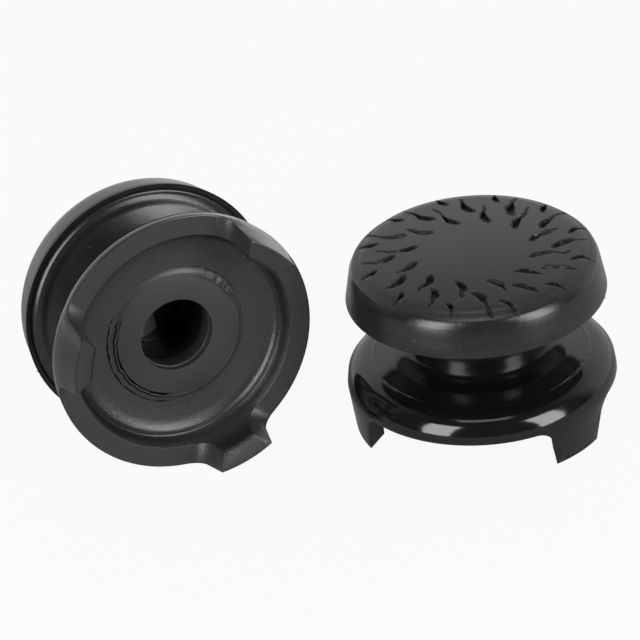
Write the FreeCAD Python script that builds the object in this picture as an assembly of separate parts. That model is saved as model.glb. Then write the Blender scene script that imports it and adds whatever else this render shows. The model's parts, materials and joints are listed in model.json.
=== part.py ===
import FreeCAD, Part
import math
import os

os.makedirs("parts", exist_ok=True)

# A pair of grip caps for game controller thumbsticks, in millimetres.
# Each cap is a soft grip top moulded through the middle of a hard clip base with three claws.
# One cap stands on its claws and the other lies on its side beside it.
# A cap is drawn with its claw tips at height 0 and its axis along Z.

# Clip base: flange, saucer and collar
flange_r = 10.5
rim_z = 3.4
saucer_edge_z = 5.17
saucer_rise = 0.68
shoulder_round = 1.7
collar_r = 4.85
collar_z = 7.75
collar_root_round = 1.9

# Clip base: recess under the saucer, inside a flat rim
rim_width = 1.6
recess_floor_z = 5.05
recess_wall_lean = 0.4
recess_corner_width = 0.5
recess_corner_height = 0.45

# Clip base: claws
claw_count = 3
claw_lean = 0.4
claw_thickness = 1.55
claw_tip_slant = 0.45
claw_inner_half_width = 1.25
claw_side_slant = math.radians(38.0)
claw_side_draft = math.radians(8.0)
claw_root_round = 1.3

# Lock between the two mouldings: a stepped hole in the base, filled by the grip top's plug
neck_r = 4.0
plug_r = 5.5
plug_step_z = 5.85
plug_proud = 0.18
plug_chamfer = 0.4
mould_gap = 0.03

# Grip top: disc
disc_rim_r = 10.1
disc_rim_z = 10.9
disc_crown_r = 9.47
disc_top_z = 14.28
disc_shoulder_round = 1.31

# Grip top: underside of the disc, from the rim inwards
lip_width = 0.5
lip_drop = 0.15
stem_root_z = 8.9
stem_root_round = 1.5

# Grip top: blind hole in the plug
blind_hole_r = 2.95
blind_hole_top_z = 10.4

# Grip top: rings of leaf-shaped slots in the top face, as (inner radius, length, width)
slot_rings = [(4.65, 1.75, 0.6), (6.2, 1.9, 0.64), (7.8, 1.05, 0.42)]
slots_in_ring = 12
slot_depth = 0.3
slot_swirl = 24.0
slot_bend = 0.1
# Corners on each side of a leaf, as shares of its length and of its width
leaf_sides = [(0.0, 0.45), (0.42, 1.0)]

# How the two caps lie on the floor, with turns in degrees
upright_turn = -48.5
lying_left = 21.47
lying_front = 6.16
lying_heading = 21.24
lying_roll = -45.7

# Radii of the recess and of the claws, from the flange inwards
recess_r = flange_r - rim_width
claw_outer_r = flange_r - claw_lean
claw_inner_r = claw_outer_r - claw_thickness
# The claws' outer lean runs on up the flange, to where it would meet the saucer
flange_corner_r = claw_outer_r + claw_lean*saucer_edge_z/rim_z

CENTRE = FreeCAD.Vector(0, 0, 0)
X_AXIS = FreeCAD.Vector(1, 0, 0)
Z_AXIS = FreeCAD.Vector(0, 0, 1)
FULL_TURN = 360.0
QUARTER_TURN = 90.0
# The number of flats that make a round corner, on an outer edge and at a root
EDGE_FLAT_COUNT = 3
ROOT_FLAT_COUNT = 2
# How far a cutting solid runs past the faces that it cuts
OVERRUN = 0.5
# Places nearer than this count as the same
SAME_PLACE = 1e-4


def at(r, z):
    """A point of a section, r from the cap's axis and z above the claw tips."""
    return FreeCAD.Vector(r, 0, z)


def unit(vector):
    """The vector at length 1."""
    return vector*(1/vector.Length)


def round_middle(before, corner, after, size):
    """The middle of a round of this size between two straight runs of a section."""
    back = unit(before - corner)
    ahead = unit(after - corner)
    half_turn = (math.pi - back.getAngle(ahead))/2
    return corner + unit(back + ahead)*(size/math.cos(half_turn))


def rounded(before, corner, after, size, flats):
    """The points of a round of this size between two straight runs of a section, as flats."""
    back = unit(before - corner)
    ahead = unit(after - corner)
    turn = math.pi - back.getAngle(ahead)
    middle = round_middle(before, corner, after, size)
    first = corner + back*(size*math.tan(turn/2)) - middle
    last = corner + ahead*(size*math.tan(turn/2)) - middle
    points = []
    for step in range(flats + 1):
        share = step/flats
        lean = first*math.sin((1 - share)*turn) + last*math.sin(share*turn)
        points.append(middle + lean*(1/math.sin(turn)))
    return points


def turned(section):
    """The solid that a closed section makes when it turns round the cap's axis.

    The section is a list of corners, each (r, z) or, if it is round, (r, z, size, flats).
    """
    corners = [at(r, z) for r, z, *rounding in section]
    points = []
    for index, (r, z, *rounding) in enumerate(section):
        before = corners[index - 1]
        after = corners[(index + 1) % len(corners)]
        if rounding:
            points += rounded(before, corners[index], after, *rounding)
        else:
            points.append(corners[index])
    outline = Part.Face(Part.makePolygon(points + points[:1]))
    return outline.revolve(CENTRE, Z_AXIS, FULL_TURN)


def base_body():
    """The clip base before its claws are cut apart: saucer, collar, recess and a whole skirt."""
    hole_r = neck_r + mould_gap
    seat_r = plug_r + mould_gap
    recess_wall_r = recess_r - recess_wall_lean
    return turned([
        (claw_inner_r, claw_tip_slant),
        (recess_r, rim_z),
        (recess_wall_r, recess_floor_z - recess_corner_height),
        (recess_wall_r - recess_corner_width, recess_floor_z),
        (seat_r, recess_floor_z),
        (seat_r, plug_step_z),
        (hole_r, plug_step_z),
        (hole_r, collar_z),
        (collar_r, collar_z),
        (collar_r, saucer_edge_z + saucer_rise, collar_root_round, ROOT_FLAT_COUNT),
        (flange_corner_r, saucer_edge_z, shoulder_round, EDGE_FLAT_COUNT),
        (claw_outer_r, 0),
    ])


def claw_outline(z):
    """The outline of one claw at height z: a trapezoid, wider outwards and towards its root."""
    inner_x = claw_inner_r - 2*OVERRUN
    outer_x = flange_r + OVERRUN

    def half_width(x):
        flare = (x - claw_inner_r)*math.tan(claw_side_slant) + z*math.tan(claw_side_draft)
        return claw_inner_half_width + flare

    return [
        FreeCAD.Vector(inner_x, -half_width(inner_x), z),
        FreeCAD.Vector(outer_x, -half_width(outer_x), z),
        FreeCAD.Vector(outer_x, half_width(outer_x), z),
        FreeCAD.Vector(inner_x, half_width(inner_x), z),
    ]


def flat_face(corners):
    """The flat face with these corners."""
    return Part.Face(Part.makePolygon(corners + corners[:1]))


def claw_column():
    """A flat-sided wedge that stands where one claw does."""
    lower = claw_outline(-2*OVERRUN)
    upper = claw_outline(rim_z + OVERRUN)
    faces = [flat_face(lower), flat_face(upper)]
    for index, corner in enumerate(lower):
        after = (index + 1) % len(lower)
        faces.append(flat_face([corner, lower[after], upper[after], upper[index]]))
    return Part.Solid(Part.Shell(faces))


def claw_gaps():
    """The spaces between the claws, with rounded corners that leave a fillet at each claw's root."""
    bottom_z = -OVERRUN
    height = rim_z - bottom_z
    outer = Part.makeCylinder(flange_r + OVERRUN, height, at(0, bottom_z))
    inner = Part.makeCylinder(claw_inner_r - OVERRUN, height, at(0, bottom_z))
    column = claw_column()
    columns = []
    for index in range(claw_count):
        turned_column = column.copy()
        turned_column.rotate(CENTRE, Z_AXIS, FULL_TURN*index/claw_count)
        columns.append(turned_column)
    gaps = []
    for gap in outer.cut(inner).cut(columns).Solids:
        corners = [edge for edge in gap.Edges
                   if isinstance(edge.Curve, Part.Line)
                   and all(abs(vertex.Z - rim_z) < SAME_PLACE for vertex in edge.Vertexes)]
        gaps.append(gap.makeFillet(claw_root_round, corners))
    return gaps


def clip_base():
    """The hard base, with its claws apart."""
    return base_body().cut(claw_gaps())


def grip_body():
    """The grip top before its slots are cut: disc, stem, neck, plug and blind hole."""
    plug_face_z = recess_floor_z - plug_proud
    plug_top_z = plug_step_z - mould_gap
    stem_z = collar_z + mould_gap
    return turned([
        (0, blind_hole_top_z),
        (blind_hole_r, blind_hole_top_z),
        (blind_hole_r, plug_face_z),
        (plug_r - plug_chamfer, plug_face_z),
        (plug_r, plug_face_z + plug_chamfer),
        (plug_r, plug_top_z),
        (neck_r, plug_top_z),
        (neck_r, stem_z),
        (collar_r, stem_z),
        (collar_r, stem_root_z, stem_root_round, ROOT_FLAT_COUNT),
        (disc_rim_r - lip_width, disc_rim_z + lip_drop),
        (disc_rim_r, disc_rim_z),
        (disc_crown_r, disc_top_z, disc_shoulder_round, EDGE_FLAT_COUNT),
        (0, disc_top_z),
    ])


def leaf(length, width):
    """A leaf's outline on the floor: a blunt heel at the origin and a point along X, slightly bent."""
    def side(way):
        corners = []
        for along, across in leaf_sides:
            drift = slot_bend*length*math.sin(math.pi*along)
            corners.append(FreeCAD.Vector(length*along, drift + way*across*width/2, 0))
        return corners

    return flat_face([*side(-1), FreeCAD.Vector(length, 0, 0), *reversed(side(1))])


def slot_cutters():
    """The leaves that sink into the top face, each ring set between the leaves of the last."""
    cutters = []
    step = FULL_TURN/slots_in_ring
    for ring, (inner_r, length, width) in enumerate(slot_rings):
        cutter = leaf(length, width).extrude(Z_AXIS*(slot_depth + OVERRUN))
        cutter.rotate(CENTRE, Z_AXIS, slot_swirl)
        cutter.translate(at(inner_r, disc_top_z - slot_depth))
        for index in range(slots_in_ring):
            placed = cutter.copy()
            placed.rotate(CENTRE, Z_AXIS, step*(index + ring/2))
            cutters.append(placed)
    return cutters


def grip_top():
    """The soft top, with its slots."""
    return grip_body().cut(slot_cutters())


def lean_angle():
    """How far a cap lying on its flange and its disc rim leans, from the two circles that touch."""
    claw_tip = at(claw_outer_r, 0)
    corner = at(flange_corner_r, saucer_edge_z)
    saucer_root = at(collar_r, saucer_edge_z + saucer_rise)
    shoulder = round_middle(claw_tip, corner, saucer_root, shoulder_round)
    across = disc_rim_r - shoulder.x
    along = disc_rim_z - shoulder.z
    lean = math.asin(shoulder_round/math.hypot(across, along)) - math.atan2(across, along)
    return math.degrees(lean)


def stand(shape):
    """Turn a piece as it is on the cap that stands."""
    shape.rotate(CENTRE, Z_AXIS, upright_turn)


def lay(shape):
    """Turn and move a piece as it is on the cap that lies on its side."""
    shape.rotate(CENTRE, Z_AXIS, lying_roll)
    shape.rotate(CENTRE, X_AXIS, -(QUARTER_TURN + lean_angle()))
    shape.rotate(CENTRE, Z_AXIS, lying_heading)
    shape.translate(FreeCAD.Vector(-lying_left, -lying_front, 0))


def cap(name, place):
    """One cap's two pieces, placed together, with their lowest point on the floor."""
    pieces = {name + "_grip_top": grip.copy(), name + "_clip_base": base.copy()}
    for piece in pieces.values():
        place(piece)
    lowest = Part.makeCompound(list(pieces.values())).optimalBoundingBox().ZMin
    for piece in pieces.values():
        piece.translate(FreeCAD.Vector(0, 0, -lowest))
    return pieces


grip = grip_top()
base = clip_base()
nodes = {**cap("upright", stand), **cap("lying", lay)}

# The origin is on the floor, under the middle of the pair
bounds = Part.makeCompound(list(nodes.values())).optimalBoundingBox()
to_origin = FreeCAD.Vector(-bounds.Center.x, -bounds.Center.y, 0)
for node, shape in nodes.items():
    shape.translate(to_origin)
    shape.exportStep("parts/" + node + ".step")
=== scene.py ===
import json
import math

import bmesh
import bpy
from mathutils import Matrix, Vector, noise


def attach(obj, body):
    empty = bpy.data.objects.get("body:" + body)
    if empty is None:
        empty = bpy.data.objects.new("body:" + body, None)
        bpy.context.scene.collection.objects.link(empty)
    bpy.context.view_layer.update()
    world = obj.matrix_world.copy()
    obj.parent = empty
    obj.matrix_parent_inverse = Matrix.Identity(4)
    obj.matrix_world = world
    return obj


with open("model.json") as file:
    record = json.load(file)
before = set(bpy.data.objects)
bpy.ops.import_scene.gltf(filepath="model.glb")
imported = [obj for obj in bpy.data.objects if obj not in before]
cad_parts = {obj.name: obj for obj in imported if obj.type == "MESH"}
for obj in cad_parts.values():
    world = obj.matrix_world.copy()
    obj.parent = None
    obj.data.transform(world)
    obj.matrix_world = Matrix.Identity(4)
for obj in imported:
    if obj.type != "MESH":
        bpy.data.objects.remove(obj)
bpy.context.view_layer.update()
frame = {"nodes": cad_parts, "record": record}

# Sizes on a cap are in millimetres, in the cap's own frame: z up its axis from the claw tips,
# r out from that axis, and turns in degrees from the middle of its first claw.
# Everything else is in metres.
MM = 0.001

# Grip top
disc_top_z = 14.28
disc_rim_z = 10.9
disc_rim_r = 10.1
plug_face_z = 4.87
plug_r = 5.5
blind_hole_r = 2.95
blind_hole_top_z = 10.4

# Grip top: the edge of the plug's flat face, how far up the plug looks scuffed, and where
# its blind hole gets dark
plug_face_r = 5.11
plug_look_z = 7.0
blind_hole_shade_z = (5.6, 7.0)

# Slots, as (inner radius, length, width) of each ring
slot_rings = [(4.65, 1.75, 0.6), (6.2, 1.9, 0.64), (7.8, 1.05, 0.42)]
slots_in_ring = 12
slot_swirl = 24.0
slot_bend = 0.1

# Clip base
rim_z = 3.4
recess_r = 8.9
recess_floor_z = 5.05
recess_round_r = (7.2, 8.4)
saucer_flat_r = (5.2, 6.9)
collar_root_z = 5.9
crest_r = 8.4
crest_start_z = 5.2
claw_tip_r = 10.1
claw_lean = 0.4

# Forms that the shading adds to the grip top, and how far each stands up or goes in
crown_end_r = 8.9
crown_height = 0.713
shoulder_r = (8.8, 9.75)
shoulder_height = 0.26
slot_tail_depth = 0.07
lip_ridge_r = 8.95
lip_ridge_height = 0.085
lip_groove_r = 9.5
lip_groove_depth = 0.09

# Forms that the shading adds to the clip base
recess_round_height = 0.28
recess_corner_height = 0.12
collar_root_depth = 0.42
crest_height = 0.035
wave_height = 0.02

# Depth of the finest grain that the shading adds
rubber_grain_depth = 0.012
plastic_grain_depth = 0.015

# Colours
rubber_dark = (0.009, 0.009, 0.0095, 1)
rubber_light = (0.017, 0.017, 0.0175, 1)
rubber_scuffed = (0.034, 0.034, 0.035, 1)
gloss_black = (0.004, 0.004, 0.0044, 1)
satin_black = (0.019, 0.019, 0.020, 1)
satin_speckle = (0.037, 0.037, 0.038, 1)
rubber_dust = (0.15, 0.15, 0.15, 1)
plastic_dust = (0.16, 0.16, 0.16, 1)
# The dark of the painted shade in slots, cracks, hollows and under the disc
painted_shade_black = (0.004, 0.004, 0.0042, 1)
floor_grey = (0.43, 0.43, 0.43, 1)
floor_pale = (0.47, 0.47, 0.47, 1)
floor_front_shade = (0.10, 0.10, 0.10, 1)

# Where the mould left rough work, as turns from the first claw, and how rough the scuffed
# stretch of seam is beside the torn one
rough_seam = (150.0, 256.0)
scuffed_seam = (338.0, 383.0)
seam_fade = 5.0
scuffed_share = 0.4
gate_turn = 234.0
gate_sweep = 104.0
sill_start = 30
sill_sweep = 180
sill_fade = 25

# Where the camera stands, from the foot of the standing cap's axis, how far it is tilted
# down and rolled, in degrees, and its lens and sensor in millimetres
camera_place = Vector((-0.012192, -0.264046, 0.169816))
camera_tilt = 31.26
camera_roll = 5.57
camera_lens = 225.0
camera_sensor = 36.0
camera_near = 0.01

# Softboxes, as (name, heading, elevation, distance, width, height, radiance), with headings
# and elevations in degrees
softboxes = [
    ("left_softbox", -42.0, 25.0, 0.6, 0.25, 0.57, 7.5),
    ("right_softbox", 52.0, 23.0, 0.6, 0.25, 0.57, 7.5),
    ("overhead", 0.0, 88.0, 0.7, 0.3, 0.3, 2.0),
]

# The floor, and how much of its own white the camera and the caps' reflections see
floor_reach = 2.0
floor_white_seen = 0.93
floor_white_mirrored = 0.9


class Cap:
    """One cap of the pair, with the frame that its sizes are measured in."""

    def __init__(self, name, mark, claw_turn, nub_turn):
        mount = next(m for m in frame["record"]["mounts"] if m["name"] == name + "_claws")
        self.name = name
        self.nub_turn = nub_turn
        self.foot = Vector(mount["pos_m"])
        self.up = -Vector(mount["axis"]).normalized()
        start = (mark - self.up*mark.dot(self.up)).normalized()
        quarter = self.up.cross(start)
        turn = math.radians(claw_turn)
        self.out = start*math.cos(turn) + quarter*math.sin(turn)
        self.side = self.up.cross(self.out)
        self.top = frame["nodes"][name + "_grip_top"]
        self.base = frame["nodes"][name + "_clip_base"]

    def at(self, r, turn, z):
        """The point r out from the axis, at this turn and height."""
        angle = math.radians(turn)
        across = self.out*math.cos(angle) + self.side*math.sin(angle)
        return self.foot + (across*r + self.up*z)*MM


# Each cap with a direction to count turns from, the turn to the middle of its first claw,
# and the turn from that claw to a nub of flash on the disc's rim
upright = Cap("upright", Vector((1, 0, 0)), -48.5, 30.5)
lying = Cap("lying", Vector((0, 0, 1)), 44.3, 208.8)
caps = [upright, lying]


# Materials

class Wire:
    """A value between two nodes; arithmetic on it adds Math nodes."""

    def __init__(self, bench, socket):
        self.bench = bench
        self.socket = socket

    def math(self, operation, *others):
        return self.bench.math(operation, self, *others)

    def largest(self, *others):
        """The largest of this value and the others."""
        value = self
        for other in others:
            value = value.math("MAXIMUM", other)
        return value

    def held(self):
        """This value, held from 0 to 1."""
        return self.math("MAXIMUM", 0).math("MINIMUM", 1)

    def __add__(self, other):
        return self.bench.math("ADD", self, other)

    def __radd__(self, other):
        return self.bench.math("ADD", other, self)

    def __sub__(self, other):
        return self.bench.math("SUBTRACT", self, other)

    def __rsub__(self, other):
        return self.bench.math("SUBTRACT", other, self)

    def __mul__(self, other):
        return self.bench.math("MULTIPLY", self, other)

    def __rmul__(self, other):
        return self.bench.math("MULTIPLY", other, self)

    def __truediv__(self, other):
        return self.bench.math("DIVIDE", self, other)


class Bench:
    """The nodes of one material or of the world."""

    def __init__(self, tree):
        tree.nodes.clear()
        self.tree = tree

    def node(self, kind, settings=None, sockets=None, output=0):
        """A node with its settings, then the values or links of its sockets."""
        made = self.tree.nodes.new(kind)
        for name, value in (settings or {}).items():
            setattr(made, name, value)
        for name, value in (sockets or {}).items():
            if isinstance(value, Wire):
                self.tree.links.new(value.socket, made.inputs[name])
            else:
                made.inputs[name].default_value = value
        return Wire(self, made.outputs[output]) if made.outputs else made

    def math(self, operation, *values):
        return self.node("ShaderNodeMath", {"operation": operation}, dict(enumerate(values)))

    def vector(self, x, y, z):
        return self.node("ShaderNodeCombineXYZ", {}, {"X": x, "Y": y, "Z": z})

    def between(self, value, low, high):
        """0 up to low, 1 from high on, and a smooth step between; or the other way round."""
        sockets = {"Value": value, "From Min": min(low, high), "From Max": max(low, high)}
        step = self.node("ShaderNodeMapRange", {"interpolation_type": "SMOOTHSTEP"}, sockets)
        return step if low < high else 1 - step

    def ridge(self, value, middle, width):
        """1 at the middle, falling to 0 at this width on either side."""
        return self.between((value - middle).math("ABSOLUTE"), width, 0)

    def mixed(self, share, first, second):
        """The colour that goes from the first to the second with the share."""
        # A Mix node's colour sockets come after those for numbers and vectors
        sockets = {0: share, 6: first, 7: second}
        return self.node("ShaderNodeMix", {"data_type": "RGBA"}, sockets, 2)

    def light_path(self, kind):
        """1 for rays of this kind."""
        return self.node("ShaderNodeLightPath", {}, {}, kind)

    def noise(self, place, scale, detail=2.0, roughness=0.5):
        sockets = {"Vector": place, "Scale": scale, "Detail": detail, "Roughness": roughness}
        return self.node("ShaderNodeTexNoise", {}, sockets)

    def bump(self, height, depth, under=None):
        """A bump whose height of 1 is this many millimetres, over another one."""
        sockets = {"Strength": 1.0, "Distance": depth*MM, "Height": height}
        if under:
            sockets["Normal"] = under
        return self.node("ShaderNodeBump", {}, sockets)


def material(name):
    made = bpy.data.materials.new(name)
    made.use_nodes = True
    return made, Bench(made.node_tree)


class Place:
    """Where a point of a material is on its cap, in millimetres and degrees."""

    def __init__(self, bench, cap):
        point = bench.node("ShaderNodeTexCoord", {}, {}, "Object")
        from_foot = bench.node("ShaderNodeVectorMath", {"operation": "SUBTRACT"}, {0: point, 1: cap.foot})
        parts = []
        for axis in (cap.out, cap.side, cap.up):
            settings = {"operation": "DOT_PRODUCT"}
            parts.append(bench.node("ShaderNodeVectorMath", settings, {0: from_foot, 1: axis/MM}, "Value"))
        x, y, self.z = parts
        self.vector = bench.vector(x, y, self.z)
        self.r = (x*x + y*y).math("SQRT")
        self.turn = (y.math("ARCTAN2", x)*(180/math.pi) + 360).math("FLOORED_MODULO", 360)
        cosine = x/self.r
        sine = y/self.r
        # Runs fast round the axis and slowly outwards
        self.radial = bench.vector(24*cosine, 24*sine, 0.45*(self.r + self.z))
        # The other way round, for marks that circle the axis
        self.circling = bench.vector(1.5*cosine, 1.5*sine, 6*self.r + 4*self.z)


def finish_surface(bench, sockets, painted_shade_share):
    """The surface, with painted shade mixed over it: a dark matte finish where the share of painted shade
    is 1.
    """
    surface = bench.node("ShaderNodeBsdfPrincipled", {}, sockets)
    dark = bench.node("ShaderNodeBsdfDiffuse", {}, {"Color": painted_shade_black})
    both = bench.node("ShaderNodeMixShader", {}, {0: painted_shade_share, 1: surface, 2: dark})
    bench.node("ShaderNodeOutputMaterial", {}, {"Surface": both})


def rough_stretch(bench, place):
    """1 along the torn and the scuffed stretch of the seam round the plug."""
    # The scuffed stretch runs past a full turn, so its turns are counted from half a turn on
    past_half = (place.turn - 180).math("FLOORED_MODULO", 360) + 180
    shares = []
    for turn, (start, end) in ((place.turn, rough_seam), (past_half, scuffed_seam)):
        begun = bench.between(turn, start - seam_fade, start + seam_fade)
        shares.append(begun*bench.between(turn, end + seam_fade, end - seam_fade))
    torn, scuffed = shares
    return torn.largest(scuffed_share*scuffed)


def slot_marks(bench, place):
    """Soft lips and ragged tails round the slots: 1 on a slot's line and 0 away from it."""
    step = 360/slots_in_ring
    swirl = math.radians(slot_swirl)
    sway = 1.1*(bench.noise(place.vector, 0.9, 2.0, 0.5) - 0.5)
    fray = 0.25*(bench.noise(place.vector, 4.0, 2.0, 0.6) - 0.5)
    head_share, tail_share = 0.45, 0.18
    soft_edge = 0.13
    tail_growth = 1.3
    end_fade = 0.35
    marks = None
    for ring, (inner_r, length, width) in enumerate(slot_rings):
        count = place.turn/step - ring/2 + slots_in_ring
        index = (count + 0.5).math("FLOOR")
        nearest = (count - index)*math.radians(step)
        seed = index + 40*ring
        chance = bench.node("ShaderNodeTexWhiteNoise", {"noise_dimensions": "1D"}, {"W": seed})
        outward = place.r*nearest.math("COSINE") - inner_r
        sideways = place.r*nearest.math("SINE")
        along = outward*math.cos(swirl) + sideways*math.sin(swirl)
        across = sideways*math.cos(swirl) - outward*math.sin(swirl)
        drift = (along*(math.pi/length)).math("SINE")*(slot_bend*length)
        # A slot sways more towards its tail, narrows, and ends at a chance length
        offset = (across - drift - sway*bench.between(along, 0.2, 1.6)).math("ABSOLUTE") + fray
        half = width*(head_share - (head_share - tail_share)*bench.between(along, 0.3*length, length))
        start = bench.between(along, -0.4, 0.1)
        end = bench.between(along - tail_growth*chance, length + end_fade, length - end_fade)
        taper = start.math("MINIMUM", end)
        mark = bench.between(offset - half*taper, soft_edge, 0.0)*bench.between(taper, 0.0, 0.25)
        marks = marks.largest(mark) if marks else mark
    return marks


def soft_rubber(cap):
    """Black rubber: fine grain, faint mottling, a few specks of dust and mould marks, with painted shade
    in its slots, in the crack by the plug and down its blind hole.
    """
    made, bench = material(cap.name + "_soft_rubber")
    place = Place(bench, cap)
    mottle = bench.noise(place.vector, 0.55, 4.0, 0.6)
    grain = bench.noise(place.vector, 9.0, 3.0, 0.7)
    specks = bench.between(bench.noise(place.vector, 3.1, 2.0, 0.4), 0.70, 0.76)
    streaks = bench.noise(place.radial, 1.0, 2.0, 0.6)
    on_top = bench.between(place.z, disc_top_z - 0.7, disc_top_z - 0.1)
    shoulder = bench.between(place.z, disc_top_z - 1.3, disc_top_z - 0.8)
    # The slots and their tails are sunk by a bump and darkened with painted shade
    slots = slot_marks(bench, place)*on_top
    above = bench.between(place.z, disc_rim_z + 0.1, disc_rim_z + 0.4)
    below = bench.between(place.z, disc_rim_z + 0.7, disc_rim_z + 0.5)
    below = below*bench.between(place.r, disc_rim_r - 0.15, disc_rim_r - 0.35)
    plug_side = bench.between(place.z, plug_look_z, plug_look_z - 0.2)

    # The top is a little crowned, and rises again towards its shoulder
    reach = place.r.math("MINIMUM", crown_end_r)
    crown = crown_height*(1 - reach*reach/crown_end_r**2)
    rise_start, rise_end = shoulder_r
    crown = crown - shoulder_height*bench.between(place.r, rise_end, rise_start)
    # The underside has a ridge inside its lip, with a groove round it
    ridge = lip_ridge_height*bench.ridge(place.r, lip_ridge_r, 0.55)
    ridge = ridge - lip_groove_depth*bench.ridge(place.r, lip_groove_r, 0.3)
    # The skin of flash leaves a crack on the plug's face, drawn as a line of painted shade
    face = bench.between(place.z, plug_face_z - 0.008, plug_face_z - 0.002)
    face = face*bench.between(place.z, plug_face_z + 0.08, plug_face_z + 0.03)
    crack_shade = rough_stretch(bench, place)*face
    crack_shade = crack_shade*bench.between(place.r, plug_face_r - 0.25, plug_face_r - 0.21)
    # Painted shade down the blind hole, darker the deeper it goes
    hole = bench.between(place.r, blind_hole_r + 0.1, blind_hole_r)
    hole = hole*bench.between(place.z, plug_face_z + 0.06, plug_face_z + 0.23)
    hole = hole*bench.between(place.z, blind_hole_top_z + 0.2, blind_hole_top_z + 0.1)
    hole_shade = hole*(0.1 + 0.25*bench.between(place.z, *blind_hole_shade_z))

    tone = bench.mixed(mottle, rubber_dark, rubber_light)
    tone = bench.mixed(plug_side*(0.5 + 0.5*grain), tone, rubber_scuffed)
    tone = bench.mixed(0.16*specks, tone, rubber_dust)
    roughness = 0.15 + 0.17*on_top - 0.06*shoulder + 0.14*plug_side
    roughness = roughness + 0.08*mottle + 0.06*grain + 0.06*streaks
    fine = bench.bump(0.8*grain + mottle + 0.5*streaks*(1 - on_top), rubber_grain_depth)
    form = bench.bump(crown*above + ridge*below - slot_tail_depth*slots, 1.0, fine)
    finish_surface(bench, {
        "Base Color": tone,
        "Roughness": roughness,
        "Normal": form,
        "IOR": 1.52,
    }, (0.62*slots).largest(crack_shade, hole_shade))
    return made


def hard_gloss(cap):
    """Black moulded plastic: polished outside, satin underneath, with a parting line on its crest, and
    painted shade in the recess's corner, along the crack by the plug and on the collar.
    """
    made, bench = material(cap.name + "_hard_gloss")
    place = Place(bench, cap)
    below = bench.between(place.z, recess_floor_z + 0.06, recess_floor_z + 0.03)
    inside = bench.between(place.r, recess_r + 0.06, recess_r)*below
    low = bench.between(place.z, rim_z + 0.06, rim_z + 0.03)
    # The claws' outer faces lean inwards, and are as glossy as the saucer
    outer = bench.between(place.r - place.z*(claw_lean/rim_z), claw_tip_r - 0.08, claw_tip_r - 0.02)
    satin = inside.largest(low*(1 - outer))
    # The collar under the disc is rougher, and darkened with painted shade where the disc hangs over it
    collar = bench.between(place.z, collar_root_z, collar_root_z + 0.6)
    waves = bench.noise(place.vector, 0.22, 2.0, 0.5)
    cloud = bench.noise(place.vector, 0.8, 4.0, 0.6)
    grain = bench.noise(place.vector, 8.0, 3.0, 0.7)
    radial = bench.noise(place.radial, 1.0, 3.0, 0.65)
    circling = bench.noise(place.circling, 1.0, 3.0, 0.6)
    haze = bench.between(bench.noise(place.vector, 0.35, 3.0, 0.6), 0.46, 0.66)
    specks = bench.between(bench.noise(place.vector, 2.6, 3.0, 0.5), 0.69, 0.77)
    crest = bench.ridge(place.r + 0.14*(cloud - 0.5), crest_r, 0.15)
    crest = crest*bench.between(place.z, crest_start_z, crest_start_z + 0.1)
    crest = crest*(0.45 + 0.8*bench.noise(place.vector, 1.6, 2.0, 0.5))

    # The recess has a fuller round between its floor and its wall than the flats give
    floor_start, floor_end = recess_round_r
    rise = ((place.r - floor_start)/(floor_end - floor_start)).held()
    ease = ((recess_r - place.r)/(recess_r - floor_end)).held()
    dish = (recess_round_height*(rise*rise - 1) + recess_corner_height*ease*ease)*below
    # The saucer runs nearly flat up to the collar's tight root
    flat_start, flat_end = saucer_flat_r
    root = collar_root_depth*bench.between(place.r, flat_end, flat_start)*(1 - below)
    around = bench.ridge(place.r, recess_r - 0.7, 0.85)*inside
    # Painted shade in the recess's corner, next to its wall
    corner_shade = bench.ridge(place.r, recess_r - 0.3, 0.3)*inside
    # Painted shade along the crack in the seam round the plug
    crack_shade = rough_stretch(bench, place)*bench.between(place.r, plug_r + 0.24, plug_r + 0.19)*inside

    tone = bench.mixed(satin, gloss_black, satin_black)
    speckle = bench.between(grain, 0.36, 0.64)
    tone = bench.mixed((0.1*cloud + 0.5*speckle)*satin, tone, satin_speckle)
    tone = bench.mixed(specks*(0.06 + 0.16*satin), tone, plastic_dust)
    roughness = 0.085 + 0.06*haze + 0.16*satin - 0.2*around
    roughness = roughness + 0.12*collar + 0.04*cloud + 0.12*grain*satin
    texture = (1.8*grain + 1.1*circling)*satin + 1.3*radial*around + 0.25*cloud
    fine = bench.bump(texture, plastic_grain_depth)
    form = bench.bump(crest_height*crest + wave_height*waves + dish - root, 1.0, fine)
    finish_surface(bench, {
        "Base Color": tone,
        "Roughness": roughness,
        "Normal": form,
        "IOR": 1.54,
    }, (0.55*corner_shade).largest(crack_shade, 0.72*collar))
    return made


def soft_edged(node, width):
    """Gives a node's real edges a small round, and shades its rounds smooth."""
    for polygon in node.data.polygons:
        polygon.use_smooth = True
    weld = node.modifiers.new("one_skin", "WELD")
    weld.merge_threshold = 0.002*MM
    edges = node.modifiers.new("broken_edges", "BEVEL")
    # Flatter edges than this are the facets of a round
    edges.limit_method = "ANGLE"
    edges.angle_limit = math.radians(46)
    edges.width = width*MM
    edges.segments = 2
    edges.use_clamp_overlap = True
    flow = node.modifiers.new("even_shading", "WEIGHTED_NORMAL")
    flow.mode = "FACE_AREA_WITH_ANGLE"
    flow.weight = 70


# What the moulds left on the caps

def piece_of(cap, name, build, finish):
    """A small extra piece of a cap, from mesh code that fills a bmesh."""
    mesh = bpy.data.meshes.new(cap.name + "_" + name)
    form = bmesh.new()
    build(cap, form)
    bmesh.ops.recalc_face_normals(form, faces=form.faces)
    form.to_mesh(mesh)
    form.free()
    for polygon in mesh.polygons:
        polygon.use_smooth = True
    mesh.materials.append(finish)
    piece = bpy.data.objects.new(mesh.name, mesh)
    bpy.context.scene.collection.objects.link(piece)
    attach(piece, "root")


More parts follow.
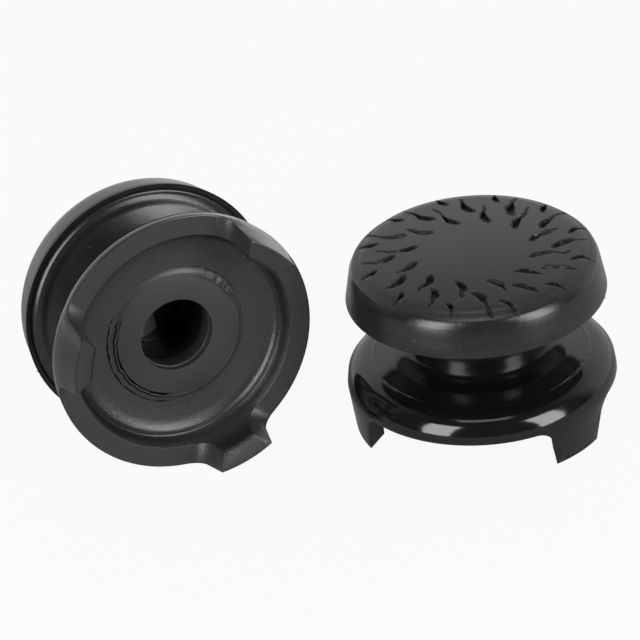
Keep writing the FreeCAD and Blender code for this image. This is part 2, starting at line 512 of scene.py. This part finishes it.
def ragged(turn, seed, scale):
    """A steady random value from -1 to 1 that varies round the axis."""
    angle = math.radians(turn)
    return noise.noise(Vector((scale*math.cos(angle), scale*math.sin(angle), seed)))


def loop_of(form, rows, closed):
    """Faces between rows of vertices; each row is a closed section, and closed joins the ends."""
    stations = [[form.verts.new(point) for point in row] for row in rows]
    pairs = list(zip(stations, stations[1:]))
    if closed:
        pairs.append((stations[-1], stations[0]))
    for row, ahead in pairs:
        for index in range(len(row)):
            after = (index + 1) % len(row)
            form.faces.new((row[index], row[after], ahead[after], ahead[index]))
    if not closed:
        form.faces.new(stations[0])
        form.faces.new(list(reversed(stations[-1])))


def seam_flash(cap, form):
    """The thin skin of rubber round the plug, torn along one stretch and scuffed along another."""
    start, end = rough_seam
    scuffed_middle = sum(scuffed_seam)/2
    scuffed_half = scuffed_seam[1] - scuffed_middle
    steps = 480
    rows = []
    for step in range(steps):
        turn = step*360/steps
        from_middle = abs((turn - scuffed_middle + 180) % 360 - 180)
        edge = max(min(turn - start, end - turn), scuffed_half - from_middle)
        rough = min(1.0, max(0.0, edge/(2*seam_fade) + 0.5))
        outer = plug_r + 0.06 + rough*(0.07 + 0.13*ragged(turn, 2.0, 9.0)) + 0.03*ragged(turn, 5.0, 40.0)
        inner = plug_face_r - rough*(0.1 + 0.14*ragged(turn, 8.0, 7.0)) + 0.02*ragged(turn, 1.0, 44.0)
        lift = 0.012 + rough*(0.035 + 0.03*ragged(turn, 4.0, 14.0))
        face_z = plug_face_z - lift
        sill_z = recess_floor_z - lift
        groove_z = face_z + 0.15
        rows.append([
            cap.at(inner, turn, face_z + 0.004),
            cap.at(inner + 0.05, turn, face_z),
            cap.at(0.5*(inner + outer) - 0.02, turn, groove_z - 0.02*rough),
            cap.at(outer - 0.05, turn, sill_z),
            cap.at(outer, turn, sill_z + 0.006),
            cap.at(outer - 0.02, turn, recess_floor_z + 0.05),
            cap.at(inner + 0.02, turn, face_z + 0.13),
        ])
    loop_of(form, rows, True)


def gate_ramp(cap, form):
    """The stub that the mould's gate left in the blind hole, winding down along its wall."""
    steps, parts = 32, 8
    wall_r = blind_hole_r + 0.03
    thickness = 2.0
    rows = []
    for step in range(steps + 1):
        share = step/steps
        turn = gate_turn + gate_sweep*share
        top_z = plug_face_z + 0.22 + 0.5*share + 3.2*share**1.8
        inner_r = 1.0 + share**1.5
        row = [cap.at(wall_r, turn, top_z)]
        for part in range(1, parts + 1):
            along = part/parts
            r = wall_r + (inner_r - wall_r)*along
            slope = 1.5*along**1.6
            skew = 7.0*along*(1 - share)
            row.append(cap.at(r, turn + skew, top_z + slope))
        row.append(cap.at(wall_r, turn, top_z + thickness))
        rows.append(row)
    loop_of(form, rows, False)


def mouth_skin(cap, form):
    """A ragged sill of rubber a little way down the blind hole, along its far side."""
    wall_r = blind_hole_r + 0.03
    rows = []
    for step in range(sill_sweep + 1):
        turn = sill_start + step
        fade = min(1.0, step/sill_fade, (sill_sweep - step)/sill_fade)
        reach = 0.03 + fade*(0.13 + 0.05*ragged(turn, 3.0, 16.0) + 0.03*ragged(turn, 6.0, 50.0))
        sill_z = plug_face_z + 0.52 + 0.06*ragged(turn, 7.0, 12.0)
        rows.append([
            cap.at(wall_r, turn, sill_z - 0.05),
            cap.at(blind_hole_r - 0.6*reach, turn, sill_z - 0.02),
            cap.at(blind_hole_r - reach, turn, sill_z + 0.04),
            cap.at(wall_r, turn, sill_z + 0.3),
        ])
    loop_of(form, rows, False)


def rim_nub(cap, form):
    """A whisker of flash on the disc's rim."""
    steps = 4
    rows = []
    for step in range(steps + 1):
        share = step/steps
        thick = 0.07*(1 - share) + 0.012
        half_width = thick*4
        half_height = thick*0.6
        turn = cap.nub_turn + 0.9*share*share
        r = disc_rim_r - 0.04 + 0.2*share
        z = disc_rim_z + 0.02 - 0.07*share
        rows.append([
            cap.at(r, turn - half_width, z),
            cap.at(r, turn, z - half_height),
            cap.at(r, turn + half_width, z),
            cap.at(r, turn, z + half_height),
        ])
    loop_of(form, rows, False)


for cap in caps:
    rubber = soft_rubber(cap)
    for node, finish, width in ((cap.top, rubber, 0.06), (cap.base, hard_gloss(cap), 0.07)):
        node.data.materials.clear()
        node.data.materials.append(finish)
        soft_edged(node, width)
    piece_of(cap, "seam_flash", seam_flash, rubber)
    piece_of(cap, "gate_ramp", gate_ramp, rubber)
    piece_of(cap, "mouth_skin", mouth_skin, rubber)
    piece_of(cap, "rim_nub", rim_nub, rubber)


# Floor, light and camera

def pale_floor():
    """A white sweep of floor that keeps a faint shadow, brightest behind the pair, with painted shade that
    darkens it towards the front.
    """
    made, bench = material("pale_floor")
    point = bench.node("ShaderNodeTexCoord", {}, {}, "Object")
    grain = bench.noise(point, 900.0)
    depth = bench.node("ShaderNodeSeparateXYZ", {}, {"Vector": point}, "Y")
    tone = bench.mixed(grain, floor_grey, floor_pale)
    # Painted shade: the floor darker towards the front
    tone = bench.mixed(bench.between(depth, -0.04, -0.12), tone, floor_front_shade)
    paper = bench.node("ShaderNodeBsdfDiffuse", {}, {"Color": tone})
    white = bench.node("ShaderNodeEmission", {}, {"Strength": 1.0})
    seen = bench.light_path("Is Camera Ray")
    mirrored = bench.light_path("Is Glossy Ray")*bench.between(depth, 0.0, 0.09)
    share = (floor_white_seen*seen).largest(floor_white_mirrored*mirrored)
    surface = bench.node("ShaderNodeMixShader", {}, {0: share, 1: paper, 2: white})
    bench.node("ShaderNodeOutputMaterial", {}, {"Surface": surface})
    mesh = bpy.data.meshes.new("floor")
    reach = floor_reach
    corners = [(-reach, -reach, 0), (reach, -reach, 0), (reach, reach, 0), (-reach, reach, 0)]
    mesh.from_pydata(corners, [], [(0, 1, 2, 3)])
    mesh.materials.append(made)
    floor = bpy.data.objects.new("floor", mesh)
    bpy.context.scene.collection.objects.link(floor)


def soft_lamp(name, heading, elevation, distance, width, height, radiance):
    """A softbox at this heading, counted from the front to the right, that faces the pair."""
    lamp = bpy.data.lights.new(name, "AREA")
    lamp.shape = "RECTANGLE"
    lamp.size = width
    lamp.size_y = height
    lamp.energy = radiance*math.pi*width*height
    stand = bpy.data.objects.new(name, lamp)
    turn = math.radians(heading)
    rise = math.radians(elevation)
    away = Vector((math.sin(turn)*math.cos(rise), -math.cos(turn)*math.cos(rise), math.sin(rise)))
    stand.location = away*distance
    stand.rotation_euler = away.to_track_quat("Z", "Y").to_euler()
    bpy.context.scene.collection.objects.link(stand)


def studio_world():
    """A white sweep behind the pair, and a dim room in front of it."""
    world = bpy.data.worlds.new("studio")
    bpy.context.scene.world = world
    world.use_nodes = True
    bench = Bench(world.node_tree)
    direction = bench.node("ShaderNodeTexCoord", {}, {}, "Generated")
    depth = bench.node("ShaderNodeSeparateXYZ", {}, {"Vector": direction}, "Y")
    height = bench.node("ShaderNodeSeparateXYZ", {}, {"Vector": direction}, "Z")
    behind = bench.between(depth, -0.05, 0.35)*(0.25 + 0.75*bench.between(height, 0.85, 0.5))
    strength = bench.light_path("Is Camera Ray").largest(0.1 + 0.9*behind)
    light = bench.node("ShaderNodeBackground", {}, {"Strength": strength})
    bench.node("ShaderNodeOutputWorld", {}, {"Surface": light})


def photo_camera():
    """The camera at the photograph's viewing angle."""
    tilt = math.radians(camera_tilt)
    roll = math.radians(camera_roll)
    back = Vector((0, -math.cos(tilt), math.sin(tilt)))
    level = Vector((1, 0, 0))
    rise = Vector((0, math.sin(tilt), math.cos(tilt)))
    right = level*math.cos(roll) - rise*math.sin(roll)
    up = level*math.sin(roll) + rise*math.cos(roll)
    lens = bpy.data.cameras.new("camera")
    lens.lens = camera_lens
    lens.sensor_width = camera_sensor
    lens.clip_start = camera_near
    camera = bpy.data.objects.new("camera", lens)
    place = upright.foot + camera_place
    camera.matrix_world = Matrix.Translation(place) @ Matrix((right, up, back)).transposed().to_4x4()
    bpy.context.scene.collection.objects.link(camera)
    bpy.context.scene.camera = camera


pale_floor()
for softbox in softboxes:
    soft_lamp(*softbox)
studio_world()
photo_camera()
bpy.context.scene.view_settings.view_transform = "Standard"
